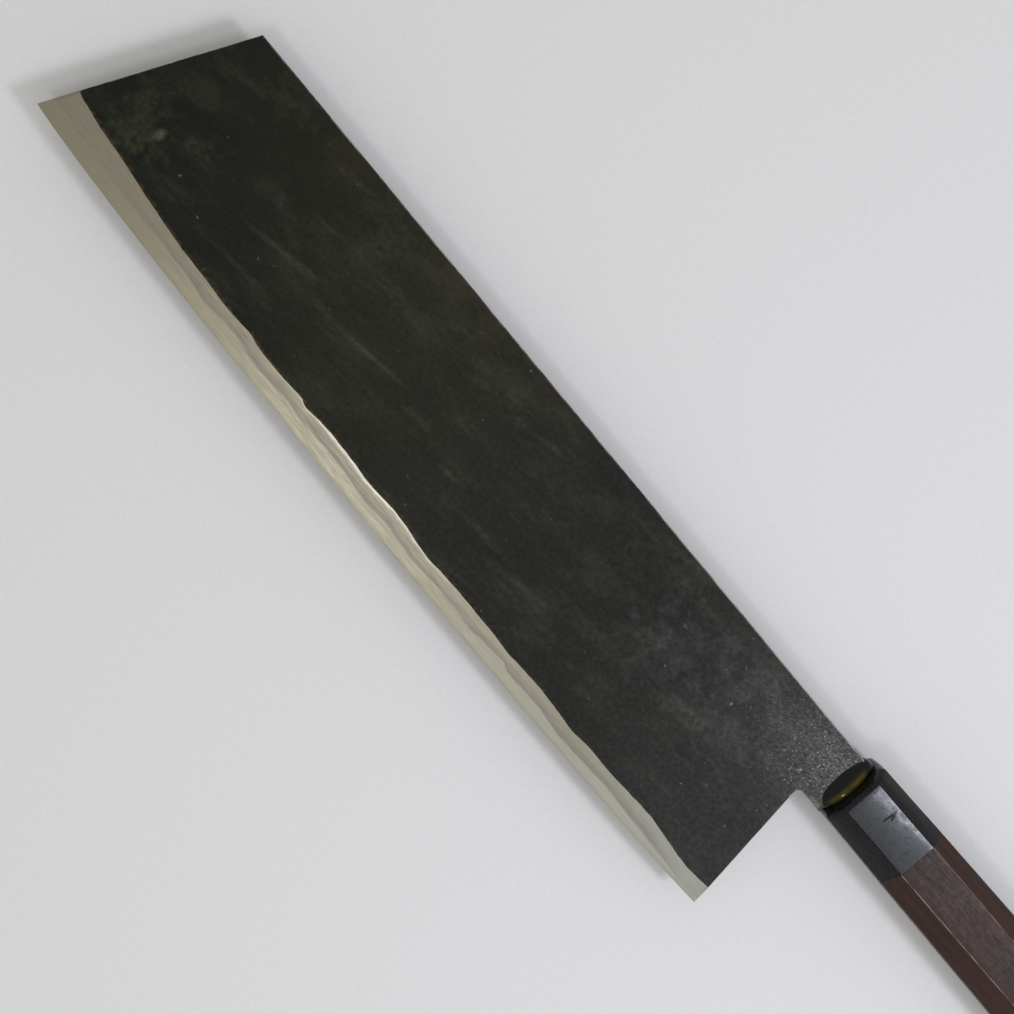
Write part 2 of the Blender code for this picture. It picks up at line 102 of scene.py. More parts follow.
# Handle, in millimetres along its own axis from the ferrule's front face
AXIS_HEIGHT = 42.5          # of the axis above the tip, at the ferrule's front face
HANDLE_RISE = radians(0.75)  # the axis rises by this toward the butt
HANDLE_LENGTH = 137.0
FERRULE_END = 23.34
GRIP_START = 23.36
HEIGHTS = (19.3, 23.7)      # front and butt
WIDTHS = (18.0, 20.8)
EDGE_CHAMFERS = (4.7, 7.0)  # the cut corners on the edge's side
SPINE_CHAMFERS = (3.8, 6.1)
ARRIS = 0.4                 # radius of the eight long arrises, and the points of its arc
ARRIS_POINTS = 5
GRIP_CROWN = 0.05           # the facets are a little full in the middle, as hand-sanded ones are
HORN_CROWN = 0.14           # the buffed horn more so, toward its front
RIM = 1.5                   # radius of the ferrule's front rim
BUTT = 1.4                  # radius around the flat butt
MOUTH_HOLE = (14.4, 8.0)    # height and width of the oval mouth
BORE = 6.8                  # radius of the socket for the dowel
SOCKET_END = 103.0          # the socket's blind end in the grip
FRONT_WALL = 5.0            # thickness of the ferrule's front, which the mouth goes through
JOINT_EASE = (0.05, 0.04)   # length and depth of the broken edges where horn meets wood
SEAL_HEIGHT = 16.6
SEAL_WIDTH = 9.8
SEAL_DOME = 3.2
PLUG = (3.7, 6.9)           # half width and half height of the resin inside the mouth
NECK_HALF = 1.4             # half thickness of the neck, where the resin climbs it
# The ferrule's dull scuff, two strokes laid out as the rub marks are, without a strength
SCUFF = ((262.3, 44.8, 7.6, 1, 86), (263, 45.7, 4.4, 0.9, 112))


def between(x, sizes):
    """A size that runs evenly from the first to the second along the handle."""
    return sizes[0] + (sizes[1] - sizes[0]) * np.clip(x / HANDLE_LENGTH, 0, 1)


def ease(share):
    """3 s squared minus 2 s cubed: a share from 0 to 1 that starts and ends level."""
    share = np.clip(share, 0, 1)
    return share * share * (3 - 2 * share)


def wander(x, y, grain, seed):
    """Smooth unevenness, -1 to 1: random heights on a square lattice of that grain, eased between them."""
    lattice = np.random.default_rng(seed).uniform(-1, 1, (64, 64))
    column, row = np.floor(x / grain).astype(int), np.floor(y / grain).astype(int)
    across, up = ease(x / grain - column), ease(y / grain - row)
    corner = lambda i, j: lattice[(column + i) % 64, (row + j) % 64]
    near = corner(0, 0) * (1 - across) + corner(1, 0) * across
    far = corner(0, 1) * (1 - across) + corner(1, 1) * across
    return near * (1 - up) + far * up


def edge_height(x):
    """The cutting edge: a cubic Bezier curve from the tip to the heel, level beyond them."""
    t = np.linspace(0, 1, 600)
    handles = ((0, 0), (28, -4.3), (189, -8.8), (EDGE_LENGTH, -HEEL_DROP))
    weights = ((1 - t) ** 3, 3 * t * (1 - t) ** 2, 3 * t * t * (1 - t), t ** 3)
    along, height = (sum(w * h[i] for w, h in zip(weights, handles)) for i in (0, 1))
    return np.interp(x, along, height)


def along_blade(x, tip, neck, tang):
    """A size that changes evenly from the tip to the ferrule, and again to the end of the tang."""
    return np.interp(x, (0, MOUTH, TANG_END), (tip, neck, tang))


def ragged(x, line, seed):
    """A measured line with a finer waver added, 0.07 mm over a few millimetres and less below."""
    height = np.interp(x, *np.transpose(line))
    return height + 0.07 * wander(x, 0 * x, 2.3, seed) + 0.03 * wander(x, 0 * x, 0.9, seed + 1)


def border_height(x):
    """Height of the scale's ragged border above the edge."""
    return ragged(x, BORDER, 3)


def lamination_height(x):
    """Height of the ragged line above the edge where the core comes out."""
    return ragged(x, LAMINATION, 5)


def bevel_half(x, height):
    """Half thickness of the ground bevel: an even slope up the sharpened strip, one on to the forged face."""
    width = 9 - 2.5 * ease(x / 50) - 1.6 * ease((x - 210) / 40)
    top = np.interp(x, (0, EDGE_LENGTH), (0.62, 0.8))
    slope = (top - SHARPENED_HALF) / (width - SHARPENED)
    sharp = SHARPENED_HALF / SHARPENED * np.maximum(height, 0)
    return np.where(height < SHARPENED, sharp, SHARPENED_HALF + slope * (height - SHARPENED))


def outer_half(x, y):
    """Half thickness of the whole blade: the bevel up to the border, then 1 - (1 - s) to the power 1.6 of the
    way to the spine's thickness, with the hammer's low swells and the pitting of the neck on top."""
    border = border_height(x)
    height = y - edge_height(x)
    start = bevel_half(x, border)
    share = np.clip((height - border) / (SPINE - edge_height(x) - border), 0, 1)
    spine = along_blade(x, 0.9, 1.6, 1.0)
    face = start + (spine - start) * (1 - (1 - share) ** 1.6)
    swell = 0.035 * wander(x, y, 13, 11) + 0.014 * wander(x, y, 4.1, 12) + 0.006 * wander(x, y, 1.7, 13)
    pits = 0.016 * wander(x, y, 1.1, 14) * ease((x - 225) / 22)
    held = ease(share / 0.12) * ease((SPINE - y) / 4) * (x < SHOULDER)
    return np.where(height < border, bevel_half(x, height), face + (swell + pits) * held)


def core_half(x, y):
    """Half thickness of the hard core: the bevel up to the lamination line, then easing to flat sides."""
    line = lamination_height(x)
    height = y - edge_height(x)
    start = bevel_half(x, line)
    flat = along_blade(x, 0.36, 0.45, 0.32)
    above = start + (flat - start) * ease((height - line) / 4.5)
    return np.where(height < line, bevel_half(x, height), above)


def blade_columns():
    """Foot and head of each column, tip to tang, and the columns where neck, shoulder and tang start.

    A column on the blade is a straight line from the edge to the spine: the first lies on the slanted nose,
    the last on the heel line. Those of the neck stand on its fillet and floor, those of the tang on the
    tang's floor."""
    count = round(EDGE_LENGTH / GRID)
    foot_x = EDGE_LENGTH * np.linspace(0, 1, count + 1)
    foot_x = np.concatenate(((0, EDGE_EASE), foot_x[1:-1], (EDGE_LENGTH - EDGE_EASE, EDGE_LENGTH)))
    head_x = CLIP_RUN + (EDGE_LENGTH - HEEL_LEAN - CLIP_RUN) * foot_x / EDGE_LENGTH
    foot = np.stack((foot_x, edge_height(foot_x)), 1)
    head = np.stack((head_x, np.full_like(head_x, SPINE)), 1)

    heel = np.array((EDGE_LENGTH, -HEEL_DROP))
    slant = atan(HEEL_LEAN / (SPINE + HEEL_DROP))
    corner = heel + (SPINE - NECK_HEIGHT + HEEL_DROP) * np.array((-tan(slant), 1))
    centre = corner + NECK_FILLET * np.array((1 / tan(pi / 4 - slant / 2), -1))
    turns = np.linspace(pi + slant, pi / 2, 8)
    arc = centre + NECK_FILLET * np.stack((np.cos(turns), np.sin(turns)), 1)
    floor_x = np.linspace(arc[-1, 0], SHOULDER, 12)[1:]
    neck_foot = np.concatenate((arc, np.stack((floor_x, np.full_like(floor_x, SPINE - NECK_HEIGHT)), 1)))
    share = (neck_foot[:, 0] - neck_foot[0, 0]) / (SHOULDER - neck_foot[0, 0])
    neck_head_x = head_x[-1] + (SHOULDER - head_x[-1]) * share
    neck_head = np.stack((neck_head_x, SPINE - np.maximum(neck_head_x - SLOPE_START, 0)), 1)

    tang_x = np.concatenate(((SHOULDER + 0.6,), np.linspace(258, TANG_END - 2, 12),
                             (TANG_END - 0.6, TANG_END)))
    rise = tan(HANDLE_RISE) * (tang_x - MOUTH)
    half = np.interp(tang_x, (MOUTH, TANG_END), TANG_HALVES)
    half -= np.interp(tang_x, (TANG_END - 2, TANG_END), (0, 1.4))    # its end is cut slanting above and below
    tang_foot = np.stack((tang_x, AXIS_HEIGHT + rise - half), 1)
    tang_head = np.stack((tang_x, AXIS_HEIGHT + rise + half), 1)
    neck, tang = len(foot) - 1, len(foot) - 1 + len(neck_foot) - 1
    feet = np.concatenate((foot, neck_foot[1:], tang_foot))
    heads = np.concatenate((head, neck_head[1:], tang_head))
    return feet, heads, neck, tang, neck_foot[0]


def blade_grid(bevel_rows, face_pitch):
    """Points of one side of the blade as columns by rows, with the marks that split it.

    bevel_rows are heights above the edge, a number or a function of x per row. Above them the rows spread
    evenly to the neck's level, then over the neck's own height, the first of these within the light ease of
    its floor."""
    feet, heads, neck, tang, start = blade_columns()
    # rows for the 31 mm up to the neck's floor, the 4.4 mm on to the tang's floor, and the 12 mm above
    spans = ((31, 2), (4.4, 1), (12, 3))
    lower, joint, upper = (max(round(high / face_pitch), least) for high, least in spans)
    step = (TANG_FLOOR - SPINE + NECK_HEIGHT) / NECK_HEIGHT
    shares = np.concatenate(((0, EDGE_EASE / NECK_HEIGHT), np.linspace(0, step, joint + 1)[1:],
                             np.linspace(step, 1 - SPINE_EASE / NECK_HEIGHT, upper + 1)[1:]))
    level = len(bevel_rows) + lower - 1
    tang_row = level + 1 + joint

    columns = len(feet)
    knee = np.empty((columns, 2))
    share = (start[1] - feet[:, 1]) / (heads[:, 1] - feet[:, 1])
    knee[:neck + 1] = (feet + (heads - feet) * share[:, None])[:neck + 1]
    knee[neck + 1:] = feet[neck + 1:]
    rows = []
    for height in bevel_rows:
        # a function is read where the column stands about 5 mm up
        part = height(feet[:, 0] + (heads - feet)[:, 0] * 5 / SPINE) if callable(height) else height
        share = (part / (heads[:, 1] - feet[:, 1]))[:, None]
        rows.append(feet + (heads - feet) * share)
    last = rows[-1]
    for i in range(1, lower):
        rows.append(last + (knee - last) * i / lower)
    for share in shares:
        rows.append(knee + (heads - knee) * share)
    points = np.stack(rows, 1)
    points[tang + 1:, tang_row:] = feet[tang + 1:, None] + (heads - feet)[tang + 1:, None] * (
        (shares[joint + 1:] - shares[joint + 1]) / (1 - shares[joint + 1]))[None, :, None]
    present = np.ones((columns - 1, points.shape[1] - 1), bool)
    present[neck:, :level] = False
    present[tang:, :tang_row] = False
    return points, present, neck, level


def close_sheet(upper, lower, present, zones):
    """Points and faces of a closed slab between two grids of points: the cells that are present, above and
    below, and a wall on every cell side that has no neighbour. zones gives each upper cell's zone; the rest
    is NARROW."""
    columns, rows = upper.shape[:2]
    index = np.arange(columns * rows).reshape(columns, rows)
    c, r = np.nonzero(present)
    top = np.stack((index[c, r], index[c + 1, r], index[c + 1, r + 1], index[c, r + 1]), 1)
    faces, finish = [top, top[:, ::-1] + columns * rows], [zones[c, r], np.full(len(c), NARROW)]
    padded = np.pad(present, 1)
    sides = ((0, -1, (0, 0), (1, 0)), (1, 0, (1, 0), (1, 1)), (0, 1, (1, 1), (0, 1)), (-1, 0, (0, 1), (0, 0)))
    for over, up, start, end in sides:
        c, r = np.nonzero(present & ~padded[1 + over:1 + over + columns - 1, 1 + up:1 + up + rows - 1])
        a, b = index[c + start[0], r + start[1]], index[c + end[0], r + end[1]]
        faces.append(np.stack((b, a, a + columns * rows, b + columns * rows), 1))
        finish.append(np.full(len(c), NARROW))
    points = np.concatenate((upper.reshape(-1, 3), lower.reshape(-1, 3)))
    return points, np.concatenate(faces), np.concatenate(finish)


def make_piece(name, points, faces, finishes, zones, nodes, marks=None, turned=False):
    """A mesh object in the frame from points in millimetres from the tip, closed by merging equal points.

    Edges stay crisp where two zones meet and where the faces turn by more than 30 degrees. marks are values
    kept at the points for the finishes to read. The piece rides on the knife and stands for its CAD nodes."""
    mesh = bpy.data.meshes.new(name)
    mesh.from_pydata((points * MM + TIP).tolist(), [], (faces[:, ::-1] if turned else faces).tolist())
    mesh.polygons.foreach_set("material_index", zones.astype(np.int32))
    for title, values in (marks or {}).items():
        mesh.attributes.new(title, "FLOAT", "POINT").data.foreach_set("value", values.astype(np.float32))
    for finish in finishes:
        mesh.materials.append(finish)
    shell = bmesh.new()
    shell.from_mesh(mesh)
    loose = [vertex for vertex in shell.verts if not vertex.link_faces]
    bmesh.ops.delete(shell, geom=loose, context="VERTS")
    bmesh.ops.remove_doubles(shell, verts=shell.verts, dist=1e-7)
    bmesh.ops.dissolve_degenerate(shell, edges=shell.edges, dist=1e-8)
    shell.to_mesh(mesh)
    shell.free()

    mesh.shade_smooth()
    mesh.set_sharp_from_angle(angle=radians(30))
    edge_of = np.empty(len(mesh.loops), np.int32)
    mesh.loops.foreach_get("edge_index", edge_of)
    sizes, zone = np.empty(len(mesh.polygons), np.int32), np.empty(len(mesh.polygons), np.int32)
    mesh.polygons.foreach_get("loop_total", sizes)
    mesh.polygons.foreach_get("material_index", zone)
    low, high = np.full(len(mesh.edges), 99), np.full(len(mesh.edges), -1)
    np.minimum.at(low, edge_of, np.repeat(zone, sizes))
    np.maximum.at(high, edge_of, np.repeat(zone, sizes))
    sharp = np.zeros(len(mesh.edges), bool)
    flag = mesh.attributes.get("sharp_edge") or mesh.attributes.new("sharp_edge", "BOOLEAN", "EDGE")
    flag.data.foreach_get("value", sharp)
    flag.data.foreach_set("value", sharp | (low != high))
    mesh.update()

    piece = bpy.data.objects.new(name, mesh)
    bpy.context.scene.collection.objects.link(piece)
    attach(piece, "root")
    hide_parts(*nodes)


def make_cladding(hand, side, finishes):
    """One soft outer layer: from the lamination line over bevel, forged face and eased spine to the core.

    The mark band runs from 0 at the lamination to 1 at the border of the scale, and fringe is 1 up to that
    border and 0 from the next row, 0.9 mm above it."""
    steps = (0, 0.03, 0.2, 0.45, 0.72, 1)
    rows = [lambda x, s=s: lamination_height(x) * (1 - s) + border_height(x) * s for s in steps]
    rows.append(lambda x: border_height(x) + 0.9)
    grid, present, neck, level = blade_grid(rows, GRID)
    x, y = grid[..., 0], grid[..., 1]
    outer = outer_half(x, y)
    inner = core_half(x, y) + WELD
    outer[:, 0] = inner[:, 0] = core_half(x[:, 0], y[:, 0])
    border_row = len(steps) - 1
    outer[:, border_row] = bevel_half(x[:, border_row], y[:, border_row] - edge_height(x[:, border_row]))

    outer[0, 1:] -= 0.5 * EDGE_EASE
    outer[neck, 1:level + 1] -= 0.5 * EDGE_EASE
    outer[neck + 1:, level] -= 0.8 * EDGE_EASE
    outer[:, 1:] = np.maximum(outer[:, 1:], inner[:, 1:] + 0.001)    # nowhere thinner than a micrometre
    turns = np.linspace(0, pi / 2, 4)[1:]
    top_row = grid.shape[1] - 1
    top, top_outer, heads = grid[:, -1], outer[:, -1], grid[:, -1] + (0, SPINE_EASE)
    extra, heights = [], []
    for turn in turns:
        extra.append(top + np.array((0, SPINE_EASE * sin(turn))))
        heights.append(top_outer - SPINE_EASE * (1 - cos(turn)))
    for share in (0.5, 1):
        extra.append(heads)
        heights.append((top_outer - SPINE_EASE) * (1 - share) + inner[:, -1] * share)
    whole = np.concatenate((grid, np.stack(extra, 1)), 1)
    outer = np.concatenate((outer, np.stack(heights, 1)), 1)
    inner = np.concatenate((inner, np.repeat(inner[:, -1:], len(extra), 1)), 1)
    present = np.pad(present, ((0, 0), (0, len(extra))), mode="edge")

    zones = np.full(present.shape, FORGED)
    zones[:, :border_row] = BEVEL
    zones[:, top_row:top_row + len(turns)] = EDGED
    zones[0, border_row:top_row] = EDGED
    zones[neck - 1, border_row:level] = EDGED
    zones[neck:, level] = EDGED
    upper = np.concatenate((whole, side * outer[..., None]), 2)
    lower = np.concatenate((whole, side * inner[..., None]), 2)
    points, faces, zone = close_sheet(upper, lower, present, zones)
    row = np.arange(whole.shape[1])
    band = np.tile(np.interp(row, range(len(steps)), steps), 2 * len(whole))
    fringe = np.tile(row <= border_row, 2 * len(whole))
    make_piece("forged_layer_" + hand, points, faces, finishes, zone, ["cladding_" + hand],
               {"band": band, "fringe": fringe}, turned=side < 0)


def make_core(finishes):
    """The hard middle layer, edge to spine: the sharpened edge in two rows of faces, the core's strip of the
    bevel in three, and flat sides hidden in the weld, with scale where they end on the spine."""
    rows = [0, SHARPENED / 2, SHARPENED]
    rows += [lambda x, s=s: SHARPENED + (lamination_height(x) - SHARPENED) * s for s in (0.3, 0.65, 1)]
    rows += [lambda x, higher=higher: lamination_height(x) + higher for higher in (1.5, 3, 4.5)]
    grid, present, _, _ = blade_grid(rows, CORE_GRID)
    x, y = grid[..., 0], grid[..., 1]
    half = core_half(x, y)
    grid = np.concatenate((grid, grid[:, -1:] + (0, SPINE_EASE)), 1)
    half = np.concatenate((half, half[:, -1:]), 1)
    present = np.pad(present, ((0, 0), (0, 1)), mode="edge")
    zones = np.full(present.shape, FORGED)
    zones[:, :5] = BEVEL
    zones[:, :2] = EDGED
    upper = np.concatenate((grid, half[..., None]), 2)
    lower = upper * (1, 1, -1)
    points, faces, zone = close_sheet(upper, lower, present, zones)
    count = int(present.sum())
    zone[count:2 * count] = zone[:count]
    make_piece("hard_core", points, faces, finishes, zone, ["core_steel"])


def handle_ring(distance, inset):
    """The eight-sided section at each distance, drawn in by inset, as rings of (across, up).

    Its corners come from height, width and both chamfers. Each is rounded by an arc of the arris radius, and
    the facets between bulge by the crown times 1 - (2 s - 1) squared."""
    distance, inset = np.broadcast_arrays(np.asarray(distance, float), np.asarray(inset, float))
    crown = GRIP_CROWN + (HORN_CROWN - GRIP_CROWN) * ease((FERRULE_END - distance) / 14)
    lost = inset * (2 - sqrt(2))
    high = between(distance, HEIGHTS) / 2 - inset - crown
    wide = between(distance, WIDTHS) / 2 - inset - crown
    low_cut = between(distance, EDGE_CHAMFERS) - lost
    top_cut = between(distance, SPINE_CHAMFERS) - lost
    corners = np.array(((wide, high - top_cut), (wide - top_cut, high), (top_cut - wide, high),
                        (-wide, high - top_cut), (-wide, low_cut - high), (low_cut - wide, -high),
                        (wide - low_cut, -high), (wide, low_cut - high)))
    corners = corners.transpose(2, 0, 1)
    turns = np.arange(9) * pi / 4
    normals = np.stack((np.cos(turns), np.sin(turns)), 1)
    inward = (normals[:-1] + normals[1:]) / (1 + cos(pi / 4))
    centres = corners - ARRIS * inward
    sweep = turns[:8, None] + np.linspace(0, pi / 4, ARRIS_POINTS)
    arcs = centres[:, :, None] + ARRIS * np.stack((np.cos(sweep), np.sin(sweep)), 2)
    share = np.linspace(0, 1, 8)[1:-1, None]
    start, end = arcs[:, :, -1:], np.roll(arcs, -1, 1)[:, :, :1]
    bulge = crown[:, None, None, None] * (1 - (2 * share - 1) ** 2)
    facets = start + (end - start) * share + bulge * normals[1:, None]
    return np.concatenate((arcs, facets), 2).reshape(len(distance), -1, 2)


def oval_ring(height, width, ring):
    """A straight-sided oval with round ends, its points at the same angles as those of the ring given."""
    turns = np.arctan2(ring[:, 1], ring[:, 0])
    radius, middle = width / 2, (height - width) / 2
    across, up = np.cos(turns), np.sin(turns)
    side = radius / np.maximum(np.abs(across), 1e-9)
    tip = middle * np.abs(up) + np.sqrt(np.maximum(radius ** 2 - (middle * across) ** 2, 0))
    reach = np.where(side * np.abs(up) <= middle, side, tip)
    return reach[:, None] * np.stack((across, up), 1)


def tube_faces(rings, sides, loop=False):
    """Four-sided faces that join each ring of points to the next, and the last to the first if it loops."""
    ring, side = np.meshgrid(np.arange(rings if loop else rings - 1), np.arange(sides), indexing="ij")
    ahead, beside = (ring + 1) % rings, (side + 1) % sides
    corners = (ring * sides + side, ahead * sides + side, ahead * sides + beside, ring * sides + beside)
    return np.stack([corner.ravel() for corner in corners], 1)


def place_on_axis(distance, rings):
    """Rings of (across, up) square to the handle's axis, as points in millimetres from the blade's tip."""
    across, up = rings[..., 0], rings[..., 1]
    distance = distance if np.ndim(distance) == 2 else np.broadcast_to(distance[:, None], across.shape)
    x = MOUTH + distance * cos(HANDLE_RISE) - up * sin(HANDLE_RISE)
    y = AXIS_HEIGHT + distance * sin(HANDLE_RISE) + up * cos(HANDLE_RISE)
    return np.stack((x, y, across), 2).reshape(-1, 3)


def make_ferrule(finish):
    """The horn ferrule: quarter-round rim, long facets, and inside the dowel's socket and the oval mouth."""
    turns = np.linspace(0, pi / 2, 9)
    rim = RIM * (1 - np.cos(turns))
    inset = RIM * (1 - np.sin(turns))
    body = np.linspace(RIM, FERRULE_END - JOINT_EASE[0], 16)[1:]
    distance = np.concatenate((rim, body, (FERRULE_END,)))
    rings = handle_ring(distance, np.concatenate((inset, 0 * body, JOINT_EASE[1:])))
    turns = np.arctan2(rings[0, :, 1], rings[0, :, 0])
    circle = BORE * np.stack((np.cos(turns), np.sin(turns)), 1)
    oval = oval_ring(*MOUTH_HOLE, rings[0])
    inside = np.stack((circle, circle, oval, oval, oval * 0.5 + rings[0] * 0.5))
    distance = np.concatenate((distance, (FERRULE_END, FRONT_WALL, FRONT_WALL, 0.15, 0)))
    points = place_on_axis(distance, np.concatenate((rings, inside)))
    faces = tube_faces(len(distance), rings.shape[1], loop=True)
    make_piece("horn_ferrule", points, faces, [finish], np.zeros(len(faces)), ["ferrule"])


def make_grip(finish):
    """The rosewood grip: tapered facets, rounded butt, and the blind socket inside its front. The flat end is
    closed by rings that shrink evenly to its middle. The mark arris lightens the arrises, burnish by the
    fingers
    with a painted highlight: 1 on the long arris at the edge side of the left face, which catches the light,
    and
    0.55 on the seven others."""
    turns = np.linspace(0, pi / 2, 9)
    inset = BUTT * (1 - np.cos(turns))
    body = np.linspace(GRIP_START + JOINT_EASE[0], HANDLE_LENGTH - BUTT, 60)
    butt = HANDLE_LENGTH - BUTT + BUTT * np.sin(turns[1:])
    distance = np.concatenate(((GRIP_START,), body, butt))
    rings = handle_ring(distance, np.concatenate((JOINT_EASE[1:], 0 * body, inset[1:])))
    shrunk = np.linspace(0.85, 0, 6)
    cap = rings[-1] * shrunk[:, None, None]
    turns = np.arctan2(rings[0, :, 1], rings[0, :, 0])
    circle = BORE * np.stack((np.cos(turns), np.sin(turns)), 1)
    socket = np.stack((0 * circle, circle, circle))
    distance = np.concatenate(((SOCKET_END, SOCKET_END, GRIP_START), distance, HANDLE_LENGTH + 0 * shrunk))
    points = place_on_axis(distance, np.concatenate((socket, rings, cap)))
    faces = tube_faces(len(distance), rings.shape[1])
    arris = np.zeros((len(distance), 8, rings.shape[1] // 8))
    arris[len(socket):-len(cap) - 4, :, 1:ARRIS_POINTS - 1] = np.array((0.55,) * 7 + (1,))[:, None]
    make_piece("rosewood_grip", points, faces, [finish], np.zeros(len(faces)), ["grip"],
               {"arris": arris.ravel()})


def make_seal(finish):
    """The resin at the mouth: a plug in it, and over it a dome of elliptical rings. With the turn from 0 at
    the foot to 90 degrees at the top, a ring's width falls with the cosine, its height with the cosine's
    root, and the rise grows with the sine to the power 0.8. A meniscus is added that falls off exponentially
    from the neck's faces. A mark of painted light is strongest at a turn of 15 degrees, in a crescent that
    thins
    out toward its ends: amber light that gathers in the resin."""
    around = np.linspace(0, 2 * pi, 161)[:-1]
    turns = np.radians(np.concatenate((np.linspace(0, 66, 23), np.linspace(69, 90, 8))))[:, None]
    across = SEAL_WIDTH / 2 * np.cos(turns) * np.cos(around)
    up = SEAL_HEIGHT / 2 * np.sqrt(np.maximum(np.cos(turns), 0)) * np.sin(around)
    domes = np.stack((across, up), 2)
    creep = np.exp(-np.maximum(np.abs(across) - NECK_HALF, 0) / 0.85)
    creep *= 1.35 * (1 - 0.45 * ((up - 0.3) / 7.5) ** 2) * ease(turns / radians(22))
    lumps = 1 + 0.015 * wander(across, up, 3.1, 31)
    rise = SEAL_DOME * lumps * np.sin(turns) ** 0.8 + creep
    plug = np.stack((PLUG[0] * np.cos(around), PLUG[1] * np.sin(around)), 1)
    rings = np.concatenate(((0 * plug, plug, plug), domes))
    back = np.array((FRONT_WALL, FRONT_WALL, -0.02))[:, None] + 0 * around
    distance = np.concatenate((back, -0.02 - rise))
    # painted light: an amber crescent 15 degrees up the dome, wide at the sides and thinning toward the ends
    reach = 3 + 8.5 * np.abs(np.cos(around))
    crescent = np.exp(-((np.degrees(turns) - 15) / reach) ** 2) * ease((7.4 - np.abs(up + 0.6)) / 3.2)
    glow = np.concatenate((0 * back, crescent))
    points = place_on_axis(distance, rings)
    faces = tube_faces(len(rings), len(around))[:, ::-1]
    make_piece("resin_mound", points, faces, [finish], np.zeros(len(faces)), ["mouth_seal"],
               {"glow": glow.ravel()})


def colour(code):
    """An sRGB hex colour such as #8a7f70 as linear red, green, blue and alpha."""
    parts = [int(code[i:i + 2], 16) / 255 for i in (1, 3, 5)]
    return (*(p / 12.92 if p <= 0.04045 else ((p + 0.055) / 1.055) ** 2.4 for p in parts), 1.0)


# Usual settings of a kind of node, its inputs in the order that the finishes use, and its usual output
KINDS = {"Attribute": ({}, (), "Fac"),
         "Bump": ({}, ("Height", "Strength", "Distance"), 0),
         "Mapping": ({"vector_type": "TEXTURE"}, ("Vector", "Location", "Rotation", "Scale"), 0),
         "Mix": ({"data_type": "RGBA"}, (0, 6, 7), 2),
         "SeparateXYZ": ({}, (0,), slice(3)),
         "TexGradient": ({"gradient_type": "SPHERICAL"}, ("Vector",), "Fac"),
         "TexNoise": ({}, ("Vector", "Scale", "Detail", "Roughness"), 0),
         "TexVoronoi": ({}, ("Vector", "W", "Scale"), "Distance")}


def add_node(tree, kind, *inputs, out=None, **named):
    """Adds a shader node and returns the output that out says, or else its usual one.

    inputs are a socket to link, a hex colour or a value each, in the order of KINDS or else of the node. A
    name that starts with a capital is an input too, and any other a setting of the node."""
    settings, order, usual = KINDS.get(kind, ({}, range(len(inputs)), 0))
    node = tree.nodes.new("ShaderNode" + kind)
    joins = dict(zip(order, inputs))
    for name, value in {**settings, **named}.items():
        if name[0].isupper():
            joins[name] = value
        else:
            setattr(node, name, value)
    for name, value in joins.items():
        if isinstance(value, bpy.types.NodeSocket):
            tree.links.new(value, node.inputs[name])
        else:
            node.inputs[name].default_value = colour(value) if isinstance(value, str) else value
    return node.outputs[usual if out is None else out]


def new_finish(name, **sockets):
    """An empty material with one Principled shader whose constant sockets are set, what adds nodes to it, and
    its Object coordinates."""
    material = bpy.data.materials.new(name)
    material.use_nodes = True
    shader = material.node_tree.nodes["Principled BSDF"]
    for socket, value in sockets.items():
        shader.inputs[socket.replace("_", " ")].default_value = value
    add = partial(add_node, material.node_tree)
    return material, add, add("TexCoord", out="Object")


def dress(material, body, rough=None, bump=None):
    """Links a finish's colour, roughness and bump to its shader, and returns the material."""
    tree = material.node_tree
    for socket, source in (("Base Color", body), ("Roughness", rough), ("Normal", bump)):
        if source is not None:
            tree.links.new(source, tree.nodes["Principled BSDF"].inputs[socket])
    return material


def oval_patch(add, place, x, y, length, width, turn=0, above=0, depth=200):
    """A mark that is 1 in the middle of an oval and falls evenly to 0 at its outline: its middle from the tip
    and its sizes in millimetres, its turn in degrees."""
    middle = (TIP[0] + x * MM, TIP[1] + y * MM, TIP[2] + above * MM)
    halves = (length * MM / 2, width * MM / 2, depth * MM / 2)
    return add("TexGradient", add("Mapping", place, middle, (0, 0, radians(turn)), halves))


def stoned(material, add, place, body, groove, rough, bump):
    """Dresses a steel with hair scratches off the stone, 0.1 mm apart along the blade and drawn three times
    as coarse so that they show. They darken it toward the groove's colour; rough and bump say how dull and
    how deep they are."""
    lengthwise = add("Mapping", place, Rotation=(0, 0, radians(-2)), Scale=(0.006, 0.0003, 0.0003))
    hair = add("TexNoise", lengthwise, 1, 3, 0.6)
    dim = add("MapRange", hair, 0.3, 0.6, 0.26, 0)
    body = add("Mix", dim, body, groove)
    return dress(material, body, add("MapRange", hair, 0.3, 0.7, *rough), add("Bump", hair, *bump))


